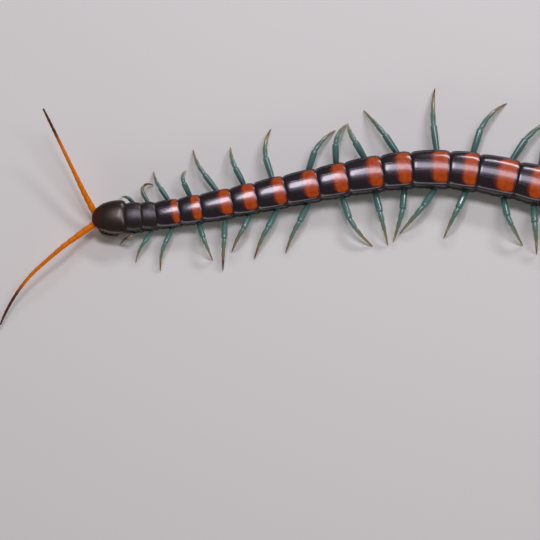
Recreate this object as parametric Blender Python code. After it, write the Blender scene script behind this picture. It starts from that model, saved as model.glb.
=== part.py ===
# Giant centipede, a still model at life size, in a walking pose on a floor at z = 0.
# The head end is at -X and the tail end at +X, +Y is the animal's right side, +Z is up.
# Sizes here are in millimetres, and every mesh is made in metres.

import math

import bmesh
import bpy
from mathutils import Vector

MM = 0.001
GAP = 0.3
BELLY_HEIGHT = 0.7
HEIGHT_PER_WIDTH = 0.58

# The middle line of the body seen from above: where the head begins, and the heading in
# degrees from +X at places along the line, measured back from the front of the head.
LINE_START = (-52.24, -3.13)
LINE_STEP = 0.25
LINE_REACH = 125.0
HEADINGS = (
    (0, 2), (5, 3), (14, 9.5), (23, 12), (33, 12.5), (43, 11), (51, 7.5), (57, 0),
    (63, -7), (69, -12.5), (76, -16), (84, -17), (94, -12), (108, -2),
)

# Back plates from front to rear: short and long ones take turns, as on the real animal.
HEAD_LENGTH = 5.5
PLATE_LENGTHS = (
    2.75, 2.45, 3.95, 3.7, 5.2, 4.15, 5.0, 5.6, 4.95, 6.0, 4.95, 6.3, 4.85, 6.6, 4.8,
    6.4, 4.6, 6.1, 4.2, 5.4, 4.3,
)
PLATE_COUNT = len(PLATE_LENGTHS)
PLATES_PER_NODE = 2
PLATE_WIDTHS = (
    (1, 5.2), (2, 4.8), (3, 4.8), (5, 5.1), (8, 5.65), (10, 6.15), (13, 6.65), (16, 6.7),
    (18, 6.3), (20, 5.4), (21, 4.8), (22, 4.1),
)

# Half of a body section, in half widths outwards and in body heights upwards.
PLATE_PROFILE = ((0.28, 0.985), (0.55, 0.94), (0.8, 0.845), (0.95, 0.72), (1.0, 0.6))
FLANK_PROFILE = ((0.96, 0.5), (1.1, 0.42), (1.08, 0.12))
BELLY_EDGE = 0.72

# How a section changes along one plate: part of its length, width and height of the back
# plate, width of the flank, and how far the belly is drawn in, as parts of the full size.
PLATE_STATIONS = (
    (0.0, 0.9, 0.945, 0.93, 0.05), (0.14, 0.955, 0.97, 0.97, 0.01), (0.42, 0.99, 0.995, 1.0, 0.0),
    (0.86, 1.0, 1.0, 1.0, 0.0), (1.0, 0.965, 0.985, 0.95, 0.04),
)
PLATE_STEP = 0.12

# The head: a plate that is widest towards the rear, over a flat underside.
HEAD_HALF_WIDTH = 3.0
HEAD_WIDEST = 4.2
HEAD_FRONT_REACH = 4.5
HEAD_FRONT_POWER = 2.3
HEAD_REAR_REACH = 1.9
HEAD_UNDERSIDE = 2.1
HEAD_TOPS = ((0, 3.0), (1, 3.45), (3, 3.8), (5.5, 3.75))
HEAD_PROFILE = (
    (0.35, 0.97), (0.68, 0.86), (0.9, 0.62), (1.0, 0.38), (0.93, 0.14), (0.6, 0.0),
)
HEAD_STATIONS = (0.0, 0.35, 0.9, 1.7, 2.9, 4.2, 4.9, 5.35)
EYE_PLACES = ((1.25, 0.86), (1.3, 0.97), (1.65, 0.88), (1.7, 0.98))
EYE_RADIUS = 0.17

# The plate that carries the fangs, seen from above as half widths at places back from the
# front of the head. Its slanting corners face the fangs.
JAW_OUTLINE = ((3.6, 1.05), (4.8, 2.4), (5.7, 2.62), (6.2, 2.3), (6.5, 1.6))
JAW_LEVELS = ((0.88, 0.72), (1.0, 1.0), (1.0, 1.4), (0.94, 1.78))

# A fang: where its middle starts, its length, the direction it starts and ends in, in
# degrees outwards from straight ahead, and its half widths and half heights.
FANG_ROOT = (3.98, 1.93)
FANG_LENGTH = 4.6
FANG_TURN = (40, -85)
FANG_HEIGHT = 1.25
FANG_STEPS = 24
FANG_SIZES = (
    (0.0, 0.62, 0.44), (0.14, 0.72, 0.5), (0.34, 0.66, 0.5), (0.46, 0.5, 0.44), (0.56, 0.5, 0.42),
    (0.68, 0.36, 0.34), (0.82, 0.25, 0.25), (0.93, 0.16, 0.16), (1.0, 0.07, 0.07),
)

# Feelers: half widths along the length, the number of joints, and how deep they are drawn
# in. Each one has its direction in degrees outwards from straight ahead, and its height.
FEELER_JOINTS = 18
FEELER_WAIST = 0.9
FEELER_SIZES = (
    (0.0, 0.54), (0.06, 0.59), (0.15, 0.54), (0.27, 0.45), (0.42, 0.36), (0.7, 0.29), (0.9, 0.24),
    (1.0, 0.12),
)
FEELER_ROOT = (0.5, 0.45, 2.5)
FEELER_SOCKET = (0.54, 1.05)
FEELERS = {
    "right": (18.6, ((0, 62), (5, 66), (20, 65)), ((0, 2.5), (4, 3.3), (19, 6.2))),
    "left": (22.6, ((0, 38), (11, 40), (15, 50), (23, 68)), ((0, 2.5), (6, 3.3), (13, 2.8), (23, 1.0))),
}

# Legs: length from front to rear, half widths along a leg of full size, the height of its
# arch, and the least half width of what isn't the tip.
LEG_FULL_LENGTH = 12.6
LEG_FRONT_LENGTH = 6.0
LEG_GROWTH = 4.5
LEG_PLACE = 0.66
LEG_ROOT = (1.09, 0.27)
LEG_HIP = 0.6
LEG_ROOT_SHIFT = 1.3
LEG_SIZES = (
    (0.1, 0.54), (0.19, 0.63), (0.32, 0.54), (0.39, 0.52), (0.53, 0.43), (0.6, 0.43),
    (0.72, 0.33), (0.79, 0.3), (0.87, 0.23), (0.95, 0.14),
)
LEG_ROOT_SIZES = ((0.0, 0.52), (0.33, 0.58))
LEG_THINNEST = 0.1
LEG_STEPS = 24
LEG_LEAST = 0.24
LEG_TIP_FROM = 0.8
FOOT_HALF_WIDTH = 0.13
ARCH_RANGE = (0.9, 2.0)
ARCH_PER_SPARE = 0.45
FALL_POWER = 1.3

# Each pair's stance from the first to the twentieth: the direction of the foot seen from
# the hip, in degrees towards the tail, how far it is, and how much the leg curls that way.
STANCE_RIGHT = (
    (-62, 2.3, 38), (24, 3.0, 86), (-17, 5.5, 26), (3, 4.3, 42), (-17, 8.1, 23), (-5, 6.8, 22),
    (13, 8.6, 28), (47, 8.4, 14), (28, 7.1, 22), (-13, 6.5, 27), (-29, 9.2, 6), (-1, 11.1, 12),
    (27, 10.6, 22), (33, 10.6, 12), (14, 9.6, 24), (-10, 9.0, 20), (-28, 9.6, 10), (-2, 10.8, 15),
    (26, 10.4, 20), (35, 10.2, 12),
)
STANCE_LEFT = (
    (-80, 2.8, 14), (-38, 5.0, 17), (-26, 6.5, 24), (13, 5.4, 8), (-15, 7.5, 4), (-44, 5.9, 2),
    (-41, 8.0, 11), (-41, 8.0, 10), (24, 8.4, 25), (5, 7.8, 4), (-21, 7.9, -8), (-42, 8.6, -4),
    (-21, 7.5, 0), (40, 7.5, 18), (21, 7.0, 2), (-2, 7.8, 8), (-25, 8.6, 8), (-43, 9.2, 5),
    (28, 8.8, 20), (10, 9.0, 10),
)

# The last pair of legs trails behind: its root on the last plate's rear face, direction
# outwards in degrees from straight back, height, and half widths.
TRAIL_LENGTH = 13.9
TRAIL_STEPS = 28
TRAIL_ROOT = (1.02, 1.8)
TRAIL_TURN = ((0, 10), (4, 17), (9, 14), (14, 2))
TRAIL_HEIGHTS = ((0, 1.8), (3.5, 2.5), (7, 2.2), (11, 1.1), (13.9, 0.14))
TRAIL_SIZES = (
    (0.0, 0.62), (0.05, 0.72), (0.15, 0.76), (0.27, 0.6), (0.37, 0.64), (0.5, 0.5), (0.58, 0.53),
    (0.7, 0.4), (0.76, 0.4), (0.84, 0.3), (0.92, 0.26), (0.96, 0.16),
)

LEG_SIDES = 6
FEELER_SIDES = 6
FANG_SIDES = 8
SMOOTH_ANGLE = math.radians(40)

# Colour, roughness and metallic value of each kind of piece.
SHELL_COLOUR = (0.035, 0.02, 0.016, 1.0)
HEAD_COLOUR = (0.02, 0.013, 0.014, 1.0)
LEG_COLOUR = (0.06, 0.2, 0.18, 1.0)
FEELER_COLOUR = (0.85, 0.2, 0.01, 1.0)
FANG_COLOUR = (0.2, 0.035, 0.012, 1.0)
SHELL_ROUGHNESS = 0.22
LIMB_ROUGHNESS = 0.32


def between(anchors, place):
    """The value at a place between (place, value) pairs."""
    for (low, first), (high, second) in zip(anchors, anchors[1:]):
        if place <= high:
            part = max(0.0, (place - low) / (high - low))
            return first + (second - first) * part
    return anchors[-1][1]


def body_line():
    """Points of the middle line, one for each step along it."""
    x, y = LINE_START
    points = [(x, y)]
    for step in range(round(LINE_REACH / LINE_STEP)):
        heading = math.radians(between(HEADINGS, (step + 0.5) * LINE_STEP))
        x += LINE_STEP * math.cos(heading)
        y += LINE_STEP * math.sin(heading)
        points.append((x, y))
    return points


LINE = body_line()


def line_place(distance):
    """The point of the middle line and the directions back and to the right there."""
    step = distance / LINE_STEP
    index = max(0, min(len(LINE) - 2, int(step)))
    part = step - index
    (x0, y0), (x1, y1) = LINE[index], LINE[index + 1]
    heading = math.radians(between(HEADINGS, distance))
    back = Vector((math.cos(heading), math.sin(heading), 0.0))
    right = Vector((-math.sin(heading), math.cos(heading), 0.0))
    return Vector((x0 + (x1 - x0) * part, y0 + (y1 - y0) * part, 0.0)), back, right


def on_body(distance, outwards, height):
    """A point beside the middle line; outwards is positive to the right."""
    middle, _, right = line_place(distance)
    return middle + right * outwards + Vector((0.0, 0.0, height))


def plate_start(index):
    """Where back plate number index (from 1) begins along the middle line."""
    return HEAD_LENGTH + sum(PLATE_LENGTHS[:index - 1])


def mirrored(profile):
    """A half profile and its mirror image, going once round."""
    return list(profile) + [(-out, up) for out, up in reversed(profile)]


def loft(rings):
    """A closed mesh through rings of points, with a flat face at each end."""
    mesh = bmesh.new()
    rows = [[mesh.verts.new(point * MM) for point in ring] for ring in rings]
    for first, second in zip(rows, rows[1:]):
        for i, corner in enumerate(first):
            j = (i + 1) % len(first)
            mesh.faces.new((corner, first[j], second[j], second[i]))
    mesh.faces.new(rows[0])
    mesh.faces.new(rows[-1])
    bmesh.ops.recalc_face_normals(mesh, faces=mesh.faces)
    return mesh


def piece(name, mesh):
    """An object made from a bmesh."""
    data = bpy.data.meshes.new(name)
    mesh.to_mesh(data)
    mesh.free()
    made = bpy.data.objects.new(name, data)
    bpy.context.scene.collection.objects.link(made)
    return made


def finish(made, colour, roughness):
    """Gives a node its own material and smooth shading."""
    material = bpy.data.materials.new(made.name)
    material.use_nodes = True
    shader = material.node_tree.nodes["Principled BSDF"]
    shader.inputs["Base Color"].default_value = colour
    shader.inputs["Roughness"].default_value = roughness
    shader.inputs["Metallic"].default_value = 0.0
    made.data.materials.clear()
    made.data.materials.append(material)
    made.data.shade_smooth()
    made.data.set_sharp_from_angle(angle=SMOOTH_ANGLE)


def fuse(body, parts):
    """Joins closed parts to a body and keeps its one closed surface."""
    group = bpy.data.collections.new(body.name)
    for part in parts:
        group.objects.link(part)
    union = body.modifiers.new("union", "BOOLEAN")
    union.operation = "UNION"
    union.operand_type = "COLLECTION"
    union.collection = group
    bpy.context.view_layer.objects.active = body
    bpy.ops.object.modifier_apply(modifier=union.name)
    for part in parts:
        bpy.data.objects.remove(part)
    bpy.data.collections.remove(group)
    keep_largest_surface(body)


def keep_largest_surface(body):
    """Removes every connected surface of a mesh but the one with the most faces."""
    mesh = bmesh.new()
    mesh.from_mesh(body.data)
    waiting = set(mesh.faces)
    surfaces = []
    while waiting:
        surface = [waiting.pop()]
        for face in surface:
            for edge in face.edges:
                for other in edge.link_faces:
                    if other in waiting:
                        waiting.remove(other)
                        surface.append(other)
        surfaces.append(surface)
    surfaces.sort(key=len)
    for surface in surfaces[:-1]:
        bmesh.ops.delete(mesh, geom=surface, context="FACES")
    mesh.to_mesh(body.data)
    mesh.free()


def ring(middle, forward, half_width, half_height, sides):
    """A ring of points across a direction, with one pair of points lowest."""
    side = Vector((-forward.y, forward.x, 0.0)).normalized()
    up = forward.cross(side).normalized()
    if up.z < 0:
        up = -up
    points = []
    for i in range(sides):
        turn = 2 * math.pi * (i + 0.5) / sides + math.pi / 2
        points.append(middle + side * (half_width * math.cos(turn)) + up * (half_height * math.sin(turn)))
    return points


def route(start, heading, length, headings, heights, steps):
    """Points of a limb: its heading and its height are read at places along it."""
    points = [start]
    step = length / steps
    for i in range(steps):
        turn = heading + math.radians(between(headings, (i + 0.5) * step))
        last = points[-1]
        points.append(Vector((
            last.x + step * math.cos(turn), last.y + step * math.sin(turn),
            between(heights, (i + 1) * step),
        )))
    return points


def tube(points, sizes, sides):
    """Rings along the points of a limb, at parts of its length with their half sizes."""
    rings = []
    last = len(points) - 1
    for part, half_width, half_height in sizes:
        place = min(part * last, last - 1e-6)
        index = int(place)
        middle = points[index].lerp(points[index + 1], place - index)
        before = points[max(0, index - 1)]
        after = points[min(last, index + 2)]
        rings.append(ring(middle, (after - before).normalized(), half_width, half_height, sides))
    return rings


def trunk_section(number, part):
    """A body section at a part of the length of back plate number."""
    for low, high in zip(PLATE_STATIONS, PLATE_STATIONS[1:]):
        if part <= high[0]:
            break
    share = (part - low[0]) / (high[0] - low[0])
    _, plate_width, plate_height, flank, lift = [a + (b - a) * share for a, b in zip(low, high)]
    full = between(PLATE_WIDTHS, number + part - LEG_PLACE)
    half = full / 2
    tall = full * HEIGHT_PER_WIDTH
    outline = [(half * plate_width * out, tall * plate_height * up) for out, up in PLATE_PROFILE]
    outline += [(half * flank * out, tall * up) for out, up in FLANK_PROFILE]
    outline.append((half * BELLY_EDGE * flank, tall * lift))
    outline = mirrored(outline)
    outline.insert(len(outline) // 2, (0.0, tall * lift))
    outline.append((0.0, tall * plate_height))
    return outline


def trunk_length(first, last):
    """One length of the trunk, from back plate first to back plate last."""
    rings = []
    for number in range(first, last + 1):
        start = plate_start(number)
        length = PLATE_LENGTHS[number - 1]
        for part, *_ in PLATE_STATIONS:
            distance = start + part * length
            if part == 0.0:
                distance += GAP / 2 if number == first else PLATE_STEP / 2
            if part == 1.0:
                distance -= GAP / 2 if number == last else PLATE_STEP / 2
            section = trunk_section(number, part)
            rings.append([on_body(distance, out, BELLY_HEIGHT + up) for out, up in section])
    return loft(rings)


def jaw_plate():
    """The plate under the rear of the head that carries the fangs."""
    rings = []
    for width, height in JAW_LEVELS:
        outline = mirrored([(out * width, place) for place, out in JAW_OUTLINE])
        rings.append([on_body(place, out, height) for out, place in outline])
    return loft(rings)


def head_half_width(distance):
    """Half the width of the head at a distance behind its front."""
    if distance < HEAD_WIDEST:
        part = (HEAD_WIDEST - distance) / HEAD_FRONT_REACH
        return HEAD_HALF_WIDTH * math.sqrt(1 - part ** HEAD_FRONT_POWER)
    part = (distance - HEAD_WIDEST) / HEAD_REAR_REACH
    return HEAD_HALF_WIDTH * math.sqrt(1 - part ** 2)


def head_shell():
    """The head without the sockets of the feelers and the eyes."""
    rings = []
    for distance in HEAD_STATIONS:
        half = head_half_width(distance)
        tall = between(HEAD_TOPS, distance) - HEAD_UNDERSIDE
        outline = mirrored([(half * out, tall * up) for out, up in HEAD_PROFILE])
        outline.insert(len(outline) // 2, (0.0, 0.0))
        outline.append((0.0, tall))
        rings.append([on_body(distance, out, HEAD_UNDERSIDE + up) for out, up in outline])
    return loft(rings)


def feeler_frame(side):
    """Where a feeler's socket is centred, and the heading it points in."""
    place, outwards, height = FEELER_ROOT
    sign = 1 if side == "right" else -1
    _, back, right = line_place(place)
    start = math.radians(FEELERS[side][1][0][1])
    ahead = -back * math.cos(start) + right * (sign * math.sin(start))
    return on_body(place, sign * outwards, height), ahead, sign


def feeler_socket(side):
    """A short tube on the head that faces the root of a feeler."""
    middle, ahead, _ = feeler_frame(side)
    half, length = FEELER_SOCKET
    ends = (middle - ahead * (length / 2), middle + ahead * length)
    return loft([ring(end, ahead, half, half, FANG_SIDES) for end in ends])


def eye(sign, place, out):
    """One simple eye, a small ball set in the side of the head."""
    tall = between(HEAD_TOPS, place) - HEAD_UNDERSIDE
    height = HEAD_UNDERSIDE + tall * (0.5 + (1 - out))
    made = bmesh.new()
    bmesh.ops.create_icosphere(made, subdivisions=1, radius=EYE_RADIUS * MM)
    centre = on_body(place, sign * head_half_width(place) * out, height)
    bmesh.ops.translate(made, verts=made.verts, vec=centre * MM)
    return made


def feeler(side):
    """A feeler of many joints, each one drawn in a little at its ends."""
    length, turns, heights = FEELERS[side]
    middle, ahead, sign = feeler_frame(side)
    start = middle + ahead * (FEELER_SOCKET[1] + GAP)
    _, back, _ = line_place(FEELER_ROOT[0])
    heading = math.atan2(-back.y, -back.x)
    outwards = [(place, -sign * turn) for place, turn in turns]
    points = route(start, heading, length, outwards, heights, FEELER_JOINTS * 2)
    sizes = []
    for i in range(FEELER_JOINTS * 2 + 1):
        part = i / (FEELER_JOINTS * 2)
        half = between(FEELER_SIZES, part)
        if i % 2 == 0 and 0 < i < FEELER_JOINTS * 2:
            half *= FEELER_WAIST
        sizes.append((part, half, half))
    return loft(tube(points, sizes, FEELER_SIDES))


def fang(sign):
    """A fang that curves forwards and inwards under the head."""
    place, outwards = FANG_ROOT
    start = on_body(place, sign * outwards, FANG_HEIGHT)
    _, back, _ = line_place(place)
    heading = math.atan2(-back.y, -back.x)
    first, last = FANG_TURN
    turns = ((0, -sign * first), (FANG_LENGTH, -sign * last))
    heights = ((0, FANG_HEIGHT), (FANG_LENGTH, FANG_HEIGHT))
    points = route(start, heading, FANG_LENGTH, turns, heights, FANG_STEPS)
    return loft(tube(points, FANG_SIZES, FANG_SIDES))


def leg_length(number):
    """Length of a leg of pair number; the front ones are shorter."""
    return LEG_FULL_LENGTH - (LEG_FULL_LENGTH - LEG_FRONT_LENGTH) * math.exp(-(number - 1) / LEG_GROWTH)


def leg_scale(number):
    """Thickness of a leg of pair number, as a part of the full size."""
    return LEG_THINNEST + (1 - LEG_THINNEST) * leg_length(number) / LEG_FULL_LENGTH


def leg_root(number, sign, first_turn):
    """Where a leg's root stands off the flank, and the direction straight out.

    A leg that sets off towards the tail or the head has its root moved that way too.
    """
    shift = LEG_ROOT_SHIFT * math.sin(first_turn) * leg_length(number) / LEG_FULL_LENGTH
    distance = plate_start(number) + LEG_PLACE * PLATE_LENGTHS[number - 1] + shift
    full = between(PLATE_WIDTHS, number)
    out, up = LEG_ROOT
    _, _, right = line_place(distance)
    height = BELLY_HEIGHT + full * HEIGHT_PER_WIDTH * up
    return on_body(distance, sign * (full / 2 * out + GAP), height), right * sign


def leg_route(number, sign, stance):
    """Points of a leg from its hip to its foot."""
    swing, reach, curl = stance
    first = math.radians(swing - curl)
    last = math.radians(swing + curl)
    root, outwards = leg_root(number, sign, first)
    hip = root + outwards * (LEG_HIP * leg_scale(number))
    heading = math.atan2(outwards.y, outwards.x)
    bend = math.radians(curl)
    plan = reach * (bend / math.sin(bend)) if curl else reach
    spare = leg_length(number) - LEG_HIP - plan
    arch = min(max(ARCH_PER_SPARE * spare, ARCH_RANGE[0]), ARCH_RANGE[1])
    points = [hip]
    step = plan / LEG_STEPS
    for i in range(LEG_STEPS):
        turn = heading - sign * (first + (last - first) * (i + 0.5) / LEG_STEPS)
        part = (i + 1) / LEG_STEPS
        height = hip.z * (1 - part ** FALL_POWER) + 4 * arch * part * (1 - part)
        last_point = points[-1]
        points.append(Vector((
            last_point.x + step * math.cos(turn), last_point.y + step * math.sin(turn), height,
        )))
    return root, outwards, points


def leg_sizes(number):
    """Half widths of a leg of pair number along its length."""
    scale = leg_scale(number)
    sizes = []
    for part, half in LEG_SIZES:
        half *= scale
        if part < LEG_TIP_FROM:
            half = max(half, LEG_LEAST)
        sizes.append((part, half, half))
    return sizes


def foot_ring(point, ahead):
    """The flat that a foot stands on, level with the floor."""
    flat = Vector((ahead.x, ahead.y, 0.0)).normalized()
    side = Vector((-flat.y, flat.x, 0.0))
    points = []
    for i in range(LEG_SIDES):
        turn = 2 * math.pi * (i + 0.5) / LEG_SIDES + math.pi / 2
        offset = side * math.cos(turn) + flat * math.sin(turn)
        points.append(Vector((point.x, point.y, 0.0)) + offset * FOOT_HALF_WIDTH)
    return points


def leg(number, sign, stance):
    """A walking leg, from the root on the flank to the flat of its foot."""
    root, outwards, points = leg_route(number, sign, stance)
    scale = leg_scale(number)
    rings = []
    for out, half in LEG_ROOT_SIZES:
        middle = root + outwards * (out * scale)
        rings.append(ring(middle, outwards, half * scale, half * scale, LEG_SIDES))
    rings += tube(points, leg_sizes(number), LEG_SIDES)
    rings.append(foot_ring(points[-1], points[-1] - points[-2]))
    return loft(rings)


def trailing_leg(sign):
    """A leg of the last pair, which points backwards."""
    distance = plate_start(PLATE_COUNT + 1) + GAP / 2
    outwards, height = TRAIL_ROOT
    start = on_body(distance, sign * outwards, height)
    _, back, _ = line_place(distance)
    heading = math.atan2(back.y, back.x)
    turns = [(place, sign * turn) for place, turn in TRAIL_TURN]
    points = route(start, heading, TRAIL_LENGTH, turns, TRAIL_HEIGHTS, TRAIL_STEPS)
    rings = tube(points, [(part, half, half) for part, half in TRAIL_SIZES], LEG_SIDES)
    rings[0] = ring(start, back, TRAIL_SIZES[0][1], TRAIL_SIZES[0][1], LEG_SIDES)
    rings.append(foot_ring(points[-1], points[-1] - points[-2]))
    return loft(rings)


def make_head():
    """The head with its feeler sockets and eyes."""
    head = piece("head", head_shell())
    parts = [piece(f"socket_{side}", feeler_socket(side)) for side in FEELERS]
    for sign in (1, -1):
        for place, out in EYE_PLACES:
            parts.append(piece("eye", eye(sign, place, out)))
    fuse(head, parts)
    finish(head, HEAD_COLOUR, SHELL_ROUGHNESS)


def make_trunk():
    """The trunk in lengths of two back plates; the first one carries the jaw plate."""
    for count, first in enumerate(range(1, PLATE_COUNT + 1, PLATES_PER_NODE)):
        last = min(first + PLATES_PER_NODE - 1, PLATE_COUNT)
        trunk = piece(f"trunk_{count + 1:02d}", trunk_length(first, last))
        if first == 1:
            fuse(trunk, [piece("jaw_plate", jaw_plate())])
        finish(trunk, SHELL_COLOUR, SHELL_ROUGHNESS)


def make_limbs():
    """Feelers, fangs and legs of both sides."""
    for side, sign, stances in (("right", 1, STANCE_RIGHT), ("left", -1, STANCE_LEFT)):
        finish(piece(f"antenna_{side}", feeler(side)), FEELER_COLOUR, LIMB_ROUGHNESS)
        finish(piece(f"forcipule_{side}", fang(sign)), FANG_COLOUR, SHELL_ROUGHNESS)
        for number, stance in enumerate(stances, start=1):
            finish(piece(f"leg_{side}_{number:02d}", leg(number, sign, stance)), LEG_COLOUR, LIMB_ROUGHNESS)
        finish(piece(f"leg_{side}_{PLATE_COUNT}", trailing_leg(sign)), LEG_COLOUR, LIMB_ROUGHNESS)


for leftover in list(bpy.data.objects):
    bpy.data.objects.remove(leftover)
make_head()
make_trunk()
make_limbs()
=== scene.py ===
# Giant centipede, a still model at life size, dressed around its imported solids.
# Pieces are modelled in millimetres, straight and lying along X with the head towards -X, then
# bent into the pose and brought to metres. +Y is the animal's right side and +Z is up.

import math
import random

import bmesh
import bpy
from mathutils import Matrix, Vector


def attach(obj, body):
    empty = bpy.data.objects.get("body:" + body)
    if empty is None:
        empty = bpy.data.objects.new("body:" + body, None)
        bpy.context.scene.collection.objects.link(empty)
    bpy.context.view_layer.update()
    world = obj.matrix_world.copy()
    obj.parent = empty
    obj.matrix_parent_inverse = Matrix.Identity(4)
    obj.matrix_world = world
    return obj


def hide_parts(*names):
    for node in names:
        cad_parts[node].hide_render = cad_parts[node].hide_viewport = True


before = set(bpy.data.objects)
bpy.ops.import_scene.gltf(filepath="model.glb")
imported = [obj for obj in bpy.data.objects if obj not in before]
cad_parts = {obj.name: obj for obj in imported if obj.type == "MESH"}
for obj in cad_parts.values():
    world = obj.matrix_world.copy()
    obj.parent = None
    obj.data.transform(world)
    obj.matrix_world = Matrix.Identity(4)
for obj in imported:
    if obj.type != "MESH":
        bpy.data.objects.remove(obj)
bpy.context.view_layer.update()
bpy.ops.object.select_all(action="DESELECT")
random.seed(21)

# The line of the body
# The trunk bends between its hard plates in one long wave from head to tail. Every piece of
# it is modelled straight and then bent along this line, as the solids are.

MM = 0.001
BELLY_HEIGHT = 0.7
HEIGHT_PER_WIDTH = 0.58
LINE_START = (-52.24, -3.13)
LINE_STEP = 0.25
LINE_REACH = 125.0
HEADINGS = (
    (0, 2), (5, 3), (14, 9.5), (23, 12), (33, 12.5), (43, 11), (51, 7.5), (57, 0),
    (63, -7), (69, -12.5), (76, -16), (84, -17), (94, -12), (108, -2),
)


def between(anchors, place):
    """The value at a place between (place, value) pairs."""
    for (low, first), (high, second) in zip(anchors, anchors[1:]):
        if place <= high:
            return first + (second - first) * max(0.0, (place - low) / (high - low))
    return anchors[-1][1]


def guide(points):
    """A line to bend a straight piece along; its first point stands for x = 0."""
    data = bpy.data.curves.new("guide", "CURVE")
    data.dimensions = "3D"
    data.twist_mode = "Z_UP"
    data.use_deform_bounds = False
    line = data.splines.new("POLY")
    line.points.add(len(points) - 1)
    for spot, place in zip(line.points, points):
        spot.co = (*place, 1.0)
    made = bpy.data.objects.new("guide", data)
    bpy.context.scene.collection.objects.link(made)
    return made


def body_points():
    """Points of the body's middle line, one for each step along it."""
    spot = Vector((*LINE_START, 0.0))
    points = [spot]
    for step in range(round(LINE_REACH / LINE_STEP)):
        heading = math.radians(between(HEADINGS, (step + 0.5) * LINE_STEP))
        spot = spot + LINE_STEP * Vector((math.cos(heading), math.sin(heading), 0.0))
        points.append(spot)
    return points


BODY_POINTS = body_points()


def at_step(points, step):
    """The point at a step along a line of points, which may lie between two of them."""
    step = min(step, len(points) - 1 - 1e-6)
    return points[int(step)].lerp(points[int(step) + 1], step - int(step))


def on_body(distance, outwards, height):
    """A point beside the middle line, and the directions back and to the right there."""
    spot = at_step(BODY_POINTS, distance / LINE_STEP)
    heading = math.radians(between(HEADINGS, distance))
    back = Vector((math.cos(heading), math.sin(heading), 0.0))
    right = Vector((-math.sin(heading), math.cos(heading), 0.0))
    return spot + right * outwards + Vector((0.0, 0.0, height)), back, right


# The soft skin of the trunk
# A tough, folded skin runs in one piece from the neck to the tail, under the hard plates. It
# shows along the flanks, where it is drawn in at each joint and bulges round the leg roots.

HEAD_LENGTH = 5.5
PLATE_LENGTHS = (
    2.75, 2.45, 3.95, 3.7, 5.2, 4.15, 5.0, 5.6, 4.95, 6.0, 4.95, 6.3, 4.85, 6.6, 4.8,
    6.4, 4.6, 6.1, 4.2, 5.4, 4.3,
)
PLATE_COUNT = len(PLATE_LENGTHS)
PLATE_WIDTHS = (
    (1, 5.2), (2, 4.8), (3, 4.8), (5, 5.1), (8, 5.65), (10, 6.15), (13, 6.65), (16, 6.7),
    (18, 6.3), (20, 5.4), (21, 4.8), (22, 4.1),
)
LEG_PLACE = 0.66
SKIN_OUTLINE = (
    (0.0, 0.9), (0.34, 0.885), (0.62, 0.83), (0.8, 0.72), (0.88, 0.6), (0.92, 0.5), (0.97, 0.43),
    (1.0, 0.35), (1.0, 0.26), (0.96, 0.15), (0.87, 0.07), (0.7, 0.03), (0.35, 0.02), (0.0, 0.02),
)
# Part of a plate's length, then width and height there.
SKIN_FOLDS = (
    (0.0, 0.9, 0.93), (0.07, 0.95, 0.955), (0.16, 0.975, 0.98), (0.26, 0.955, 0.985),
    (0.38, 0.99, 1.0), (0.5, 0.975, 1.0), (0.66, 1.015, 1.0), (0.8, 0.99, 1.0),
    (0.88, 0.965, 0.99), (0.95, 0.945, 0.97),
)
# Rows at the neck, with width and height, and rows behind the last plate, with their size.
NECK = ((5.0, 0.72, 0.792), (5.3, 0.88, 1.0))
TAIL = ((0.1, 0.84), (0.35, 0.64), (0.55, 0.36), (0.62, 0.12))
TRUNK_NODES = 11
# Edges that bend by more degrees than this stay sharp.
SHARP_FROM = 50


def plate_start(number):
    """Where back plate number (from 1) begins along the middle line."""
    return HEAD_LENGTH + sum(PLATE_LENGTHS[:number - 1])


def plate_half_width(number, part=LEG_PLACE):
    """Half the width of the body at a part of the length of back plate number."""
    return between(PLATE_WIDTHS, number + part - LEG_PLACE) / 2


def choose(*pieces):
    """Selects pieces and nothing else, and makes the first one active."""
    bpy.ops.object.select_all(action="DESELECT")
    for piece in pieces:
        piece.select_set(True)
    bpy.context.view_layer.objects.active = pieces[0]


def edit(piece):
    """Opens a piece in edit mode with nothing selected."""
    choose(piece)
    bpy.ops.object.mode_set(mode="EDIT")
    bpy.ops.mesh.select_mode(type="VERT")
    bpy.ops.mesh.select_all(action="DESELECT")


def pick(piece, rule):
    """Selects the vertices whose place follows a rule, and nothing else."""
    mesh = bmesh.from_edit_mesh(piece.data)
    for vert in mesh.verts:
        vert.select = bool(rule(vert.co))
    mesh.select_flush(True)
    mesh.select_flush(False)
    bmesh.update_edit_mesh(piece.data)


def leave_edit():
    """Goes back to object mode."""
    bpy.ops.object.mode_set(mode="OBJECT")


def outline_start(name, points, closed=True):
    """A line of (outwards, height) points across X, ready to be drawn out along X."""
    fill = "NGON" if closed else "NOTHING"
    bpy.ops.mesh.primitive_circle_add(vertices=len(points), fill_type=fill)
    made = bpy.context.object
    made.name = name
    for vert, (out, up) in zip(made.data.vertices, points):
        vert.co = (0.0, out, up)
    edit(made)
    if not closed:
        ends = [Vector((0.0, *points[which])) for which in (0, -1)]
        pick(made, lambda co: min((co - end).length for end in ends) < 1e-6)
        bpy.ops.mesh.delete(type="EDGE")
    bpy.ops.mesh.select_all(action="SELECT")
    return made


def draw_out(rows):
    """Draws the selected outline out along X through rows of x and the scales across there."""
    x, wide, tall = rows[0]
    bpy.ops.transform.translate(value=(x, 0, 0))
    bpy.ops.transform.resize(value=(1, wide, tall), center_override=(x, 0, 0))
    for next_x, next_wide, next_tall in rows[1:]:
        bpy.ops.mesh.extrude_region_move(TRANSFORM_OT_translate={"value": (next_x - x, 0, 0)})
        value = (1, next_wide / wide, next_tall / tall)
        bpy.ops.transform.resize(value=value, center_override=(next_x, 0, 0))
        x, wide, tall = next_x, next_wide, next_tall


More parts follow.
